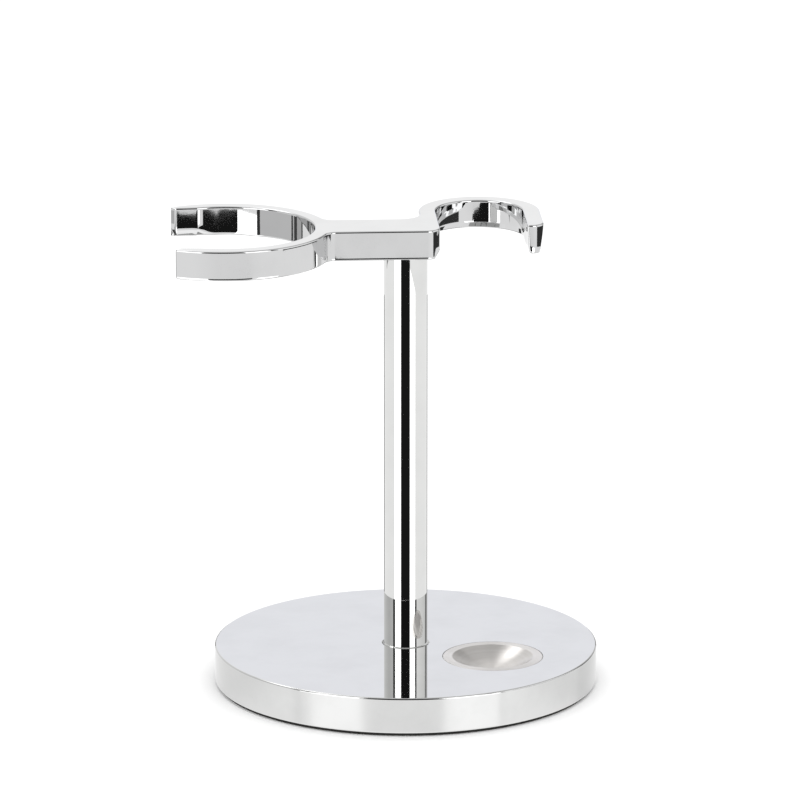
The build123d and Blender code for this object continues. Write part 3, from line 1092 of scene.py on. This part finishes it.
def grid_normals(grid):
    """The normal at every point of a closed grid, from its neighbours in both directions."""
    around = np.roll(grid, -1, axis=1) - np.roll(grid, 1, axis=1)
    upward = np.gradient(grid, axis=0)
    normal = np.cross(around, upward)
    return normal / np.maximum(np.linalg.norm(normal, axis=2, keepdims=True), 1e-12)


def make_arm():
    points = np.array(outline.points)
    run = np.roll(points, -1, axis=0) - np.roll(points, 1, axis=0)
    outward = np.stack((run[:, 1], -run[:, 0]), axis=1)
    outward /= np.linalg.norm(outward, axis=1, keepdims=True)
    rows = []
    for inset, height in arm_rows():
        draws = np.array([draw_in(p, o, n, height)
                          for p, o, n in zip(points, outward, outline.names)])
        shifts = np.array([leg_shift(p, n, height) for p, n in zip(points, outline.names)])
        flat = points - outward * (inset + draws)[:, None] + shifts
        rows.append(np.column_stack((flat, np.full(len(flat), arm_low.z + height))))
    grid = np.array(rows)
    normals = grid_normals(grid)
    normals[0] = (0, 0, -1)
    normals[-1] = (0, 0, 1)
    skin = Skin()
    loops = [skin.loop(list(row), list(normal)) for row, normal in zip(grid, normals)]
    for lower, upper in zip(loops, loops[1:]):
        skin.band(lower, upper)
    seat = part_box("column")[1].x + SEAT_GAP
    seat_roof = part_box("column")[1].z
    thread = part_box("tie_rod")[1].x
    thread_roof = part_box("tie_rod")[1].z + ROD_HOLE_SPARE
    seat_mouth, seat_top = stack(skin, (0, 0), [(seat, arm_low.z, 0), (seat, seat_roof, 0)], True)
    hole_mouth, hole_top = stack(skin, (0, 0), [(thread, seat_roof, 0), (thread, thread_roof, 0)],
                                 True, count=96)
    skin.fill([loops[-1]], 1)
    skin.fill([loops[0], seat_mouth], -1)
    skin.fill([seat_top, hole_mouth], -1)
    skin.fill([hole_top], -1)
    return skin.make("arm_casting", "chrome_plate")


arm = make_arm()

# %% [markdown]
# ## Hardware that keeps its CAD shape
#
# The nut and the two washers sit in the pocket under the base. Their CAD shapes are right, so
# they stay, and each only gets its finish.

# %% Hardware finishes
FINISHES = {"clamping_nut": "zinc_steel", "flat_washer": "zinc_steel",
            "lock_washer": "spring_steel"}
for part, finish in FINISHES.items():
    mesh = frame["nodes"][part].data
    mesh.materials.clear()
    mesh.materials.append(MATERIALS[finish])
    print(part, "is finished in", finish)

# %% [markdown]
# ## Riding on the frame
#
# Nothing on the stand moves in use, so all pieces ride on the one body. Each new piece names
# the CAD node that it stands for and the finish that it takes.

# %% Riding
STANDS_FOR = ((arm, "arm", "chrome_plate"), (column, "column", "chrome_tube"),
              (base, "base_disc", "chrome_base"), (dish, "razor_dish", "turned_steel"),
              (pad, "foot_pad", "pad_rubber"), (tie_rod, "tie_rod", "zinc_steel"))
for piece, part, finish in STANDS_FOR:
    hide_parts(part)
    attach(piece, "root")
print(len(STANDS_FOR), "pieces ride on the frame")

# %% [markdown]
# ## The studio
#
# Polished metal has almost no look of its own: it shows the room. A photographer lights it with
# cards, white ones for the bright bands and black ones for the dark bands that draw its shape.
# Each card here is a part of an upright cylinder about the column, placed by its angle from the
# camera's side, and its glow says how bright it looks. The cards are seen in the metal only, so
# they neither hide the stand nor light the floor. The low ones stand close and end just under
# what the arm's front shows, so that the column shows them and the arm's front stays plain.

# %% Cards
LIGHT_TABLE = []
CARD_STEPS = 33


def stage_material(name, colour=(1, 1, 1)):
    made = bpy.data.materials.new(name)
    made.use_nodes = True
    tree = made.node_tree
    tree.nodes.remove(tree.nodes["Principled BSDF"])
    lamp = node(tree, "ShaderNodeEmission")
    lamp.inputs["Color"].default_value = (*colour, 1)
    brightness = node(tree, "ShaderNodeAttribute", attribute_name="glow")
    tree.links.new(brightness.outputs["Fac"], lamp.inputs["Strength"])
    tree.links.new(lamp.outputs["Emission"], tree.nodes["Material Output"].inputs["Surface"])
    made.cycles.emission_sampling = "NONE"
    return made


card_paper = stage_material("card_paper")
blue_paper = stage_material("blue_paper", (0.98, 0.99, 1.04))


def only_in_reflections(obj):
    obj.visible_camera = False
    obj.visible_diffuse = False
    obj.visible_shadow = False
    obj.visible_transmission = False


def studio_sheet(name, rows, angles, glows, paper, centre=(0, 0)):
    """A sheet of rows (radius, height) spread over angles; glows gives each corner's brightness."""
    points = []
    across, along = centre
    for radius, height in rows:
        for angle in angles:
            turn = math.radians(angle) - VIEW_TURN
            points.append((across + radius * math.sin(turn), along - radius * math.cos(turn),
                           height))
    wide = len(angles)
    faces = [(i * wide + j, (i + 1) * wide + j, (i + 1) * wide + j + 1, i * wide + j + 1)
             for i in range(len(rows) - 1) for j in range(wide - 1)]
    mesh = bpy.data.meshes.new(name)
    mesh.from_pydata(points, [], faces)
    mesh.materials.append(paper)
    mesh.attributes.new("glow", "FLOAT", "POINT").data.foreach_set(
        "value", np.array(glows, np.float32).ravel())
    made = bpy.data.objects.new(name, mesh)
    bpy.context.scene.collection.objects.link(made)
    only_in_reflections(made)
    LIGHT_TABLE.append(name)
    return made


def card(name, start, end, distance, bottom, top, glow, end_glow=None, paper=card_paper):
    """An upright card between two angles from the camera's side.

    Its top is one height, or a list of (angle, height) corners that it follows.
    """
    angles = np.linspace(start, end, CARD_STEPS)
    row = np.linspace(glow, glow if end_glow is None else end_glow, CARD_STEPS)
    made = studio_sheet(name, [(distance, bottom), (distance, bottom)], angles, [row, row], paper)
    tops = np.interp(angles, *zip(*top)) if isinstance(top, list) else np.full(CARD_STEPS, top)
    for vertex, height in zip(list(made.data.vertices)[CARD_STEPS:], tops):
        vertex.co.z = height
    return made


# %% [markdown]
# The column shows everything around it squeezed into narrow bands. From its middle outwards come
# a black card in front, a white one on each side, a thin dark gap, and the grey walls. The high
# cards are the same for what the base's top passes on to the column's foot. The backdrop behind
# is what the flat tops show: its lower part, slightly blue, fills the base's top, and its upper
# part the arm's. A few small cards under the ring's open side draw the lines in its far wall.

# %% The cards in their places
BLACK = 0.011
BRIGHT = 2.2
TOP_GLOW = 1.045
ARM_GLOW = 1.11
card("low_black", -25, 22, 0.25, -0.11,
     [(-25, 0.0475), (-3, 0.044), (3, 0.0417), (9, 0.0417), (16, 0.0417), (22, 0.041)], BLACK)
card("low_white_left", -60, -25, 0.25, -0.3, [(-60, 0.051), (-25, 0.0475)], BRIGHT)
card("low_white_right", 22, 50, 0.15, -0.15, [(22, 0.0635), (50, 0.0575)], BRIGHT)
card("low_edge_left", -164, -150, 0.25, -0.3, 0.03, 0.03)
card("low_edge_right", 151, 163, 0.25, -0.3, 0.03, 0.03)
card("high_black", -25, 22, 1.2, 0.03, 1.9, BLACK)
card("high_white_left", -58, -25, 1.2, 0.03, 1.1, BRIGHT)
card("high_white_right", 22, 51, 1.2, 0.03, 1.1, BRIGHT)
card("gap_left", -70, -58, 1.2, 0.03, 1.1, 0.02)
card("gap_right", 51, 60, 1.2, 0.03, 1.1, 0.02)
card("wall_left_front", -100, -70, 1.25, 0.0, 1.1, 0.70, 0.74)
card("wall_left_rear", -146, -100, 1.25, 0.0, 1.1, 0.88, 0.70)
card("wall_right", 60, 126, 1.25, 0.0, 1.1, 1.15, 0.95)
card("gap_rear", 126, 140, 1.2, 0.03, 1.1, 0.25)
card("edge_left", -110, -74, 0.25, 0.046, 0.062, 0.58)
card("edge_right", 61, 138, 0.25, 0.043, 0.062, 0.04)
card("backdrop_side", 140, 168, 1.6, 0.0, 1.6, 0.40, 0.70)
card("backdrop_low", 168, 194, 0.8, 0.0, 0.28, TOP_GLOW, paper=blue_paper)
card("backdrop_high", 168, 194, 0.8, 0.28, 0.9, ARM_GLOW)
card("backdrop_end", 194, 214, 1.6, 0.0, 1.6, 0.95, 0.85)
RING_CARD_STEPS = 9
RING_CARD_RADIUS = 0.025
RING_CARD_HEIGHTS = (0.086, 0.1004)
RING_CARDS = ((-64, -58, 0.04), (-132, -64, 0.66), (-136, -132, 0.05), (-139, -136, 0.6),
              (-147, -139, 0.07), (-160, -147, 0.5), (-164, -160, 0.05))
for number, (start, end, glow) in enumerate(RING_CARDS):
    angles = np.linspace(start, end, RING_CARD_STEPS)
    rows = [(RING_CARD_RADIUS, height) for height in RING_CARD_HEIGHTS]
    glows = np.full((len(rows), RING_CARD_STEPS), glow)
    studio_sheet(f"ring_card_{number}", rows, angles, glows, card_paper, centre=(ring_x, 0))
print(len(LIGHT_TABLE), "cards")

# %% [markdown]
# The floor is plain and pale. For the camera it is a matt sheet, bright enough to go white, so
# that only the soft shadow at the foot is left. In the metal two other sheets stand for it: a
# glossy one close round the foot, which passes on the cards' bands to the base's side, and a
# slightly darker one far out, which the arm's front shows. Both glow, and their glow carries
# painted light and shade: the near one is painted darker at the foot, a painted contact shadow,
# and brighter in front than at the sides, and the far one is painted darker in front, a painted
# shade. Overhead is a dim ceiling with one bright window, and the satin dish draws that window
# out into a wedge. Two soft boxes, each with its place, size in metres and power in watts, light
# the matt floor and the pad, and the metal doesn't show them.


# %% Floor and light
FLOOR_SIZE = 6.0
NEAR_FLOOR = (0.0432, 0.0745)
NEAR_FLOOR_STRIP = 4 * MM
# painted contact shadow: the first glow, at the foot, is lower than the two further out
NEAR_FLOOR_GLOWS_SHADED_AT_FOOT = (1.15, 1.28, 1.32)
SHEET_LIFT = 0.02 * MM
FAR_FLOOR = (0.42, 3.0)
SOFTBOXES = (("softbox_top", (0, 0, 1.6), 1.6, 8.0),
             ("softbox_front", (0.2, -1.4, 1.3), 1.0, 3.0))
SHEET_ANGLES = np.linspace(-180, 180, 181)
CEILING_HEIGHT = 2.0
CEILING_GLOW = 0.62
WINDOW_GLOW = 1.9


def make_floor():
    made = bpy.data.materials.new("floor_paper")
    made.use_nodes = True
    tree = made.node_tree
    shader = tree.nodes["Principled BSDF"]
    shader.inputs["Specular IOR Level"].default_value = 0.0
    place = node(tree, "ShaderNodeTexCoord")
    fibre = node(tree, "ShaderNodeTexNoise", Scale=60.0, Detail=3.0)
    tree.links.new(place.outputs["Object"], fibre.inputs["Vector"])
    tree.links.new(tinted(tree, fibre.outputs["Fac"], (0.90, 0.90, 0.90), (0.92, 0.92, 0.92)),
                   shader.inputs["Base Color"])
    mesh = bpy.data.meshes.new("floor")
    half = FLOOR_SIZE / 2
    mesh.from_pydata([(-half, -half, 0), (half, -half, 0), (half, half, 0), (-half, half, 0)],
                     [], [(0, 1, 2, 3)])
    mesh.materials.append(made)
    floor = bpy.data.objects.new("floor", mesh)
    bpy.context.scene.collection.objects.link(floor)
    floor.visible_glossy = False


def make_near_floor():
    """The floor round the foot as the metal sees it: a white glow with a painted contact shadow at
    the foot and painted shade to the sides, and a glossy skin.
    """
    paper = stage_material("gloss_floor")
    tree = paper.node_tree
    lamp = tree.nodes["Emission"]
    gloss = node(tree, "ShaderNodeBsdfAnisotropic")
    gloss.inputs["Roughness"].default_value = 0.32
    share = node(tree, "ShaderNodeFresnel", IOR=1.5)
    both = node(tree, "ShaderNodeMixShader")
    tree.links.new(share.outputs["Fac"], both.inputs[0])
    tree.links.new(lamp.outputs["Emission"], both.inputs[1])
    tree.links.new(gloss.outputs["BSDF"], both.inputs[2])
    tree.links.new(both.outputs["Shader"], tree.nodes["Material Output"].inputs["Surface"])
    inner, outer = NEAR_FLOOR
    rows = [(radius, SHEET_LIFT) for radius in (inner, inner + NEAR_FLOOR_STRIP, outer)]
    aside = np.abs(SHEET_ANGLES)
    # painted shade: the glow falls off towards the sides, so the front is brighter
    dim = 1 - 0.02 * fade(aside, 28, 45) - 0.19 * fade(aside, 45, 80)
    glows = [glow * dim for glow in NEAR_FLOOR_GLOWS_SHADED_AT_FOOT]
    studio_sheet("near_floor", rows, SHEET_ANGLES, glows, paper)


def make_far_floor():
    # painted shade: the far sheet glows 6 percent less in front of the stand
    front = 1 - fade(np.abs(SHEET_ANGLES), 10, 40)
    row = 1.0 - 0.06 * front
    rows = [(radius, 0) for radius in FAR_FLOOR]
    studio_sheet("far_floor", rows, SHEET_ANGLES, [row, row], card_paper)


def make_ceiling():
    """The dim room over the stand with one bright window, which the satin dish gathers."""
    left_rear = fade(SHEET_ANGLES, -178, -158) * (1 - fade(SHEET_ANGLES, -115, -90))
    dim = np.full(len(SHEET_ANGLES), CEILING_GLOW)
    lit = dim + WINDOW_GLOW * left_rear
    rows = [(radius, CEILING_HEIGHT) for radius in (0.01, 0.8, 1.0, 1.7, 2.4)]
    studio_sheet("ceiling", rows, SHEET_ANGLES, [dim, dim, lit, lit, dim], card_paper)


def make_light():
    world = bpy.data.worlds.new("room")
    world.use_nodes = True
    world.node_tree.nodes["Background"].inputs["Color"].default_value = (1, 1, 1, 1)
    world.node_tree.nodes["Background"].inputs["Strength"].default_value = 1.0
    bpy.context.scene.world = world
    for name, place, size, power in SOFTBOXES:
        lamp = bpy.data.lights.new(name, "AREA")
        lamp.size = size
        lamp.energy = power
        made = bpy.data.objects.new(name, lamp)
        made.location = place
        made.rotation_euler = (-Vector(place)).to_track_quat("-Z", "Y").to_euler()
        made.visible_glossy = False
        bpy.context.scene.collection.objects.link(made)


make_floor()
make_near_floor()
make_far_floor()
make_ceiling()
make_light()
print("near floor from", NEAR_FLOOR[0] / MM, "to", NEAR_FLOOR[1] / MM, "mm, and",
      len(SOFTBOXES), "soft boxes")
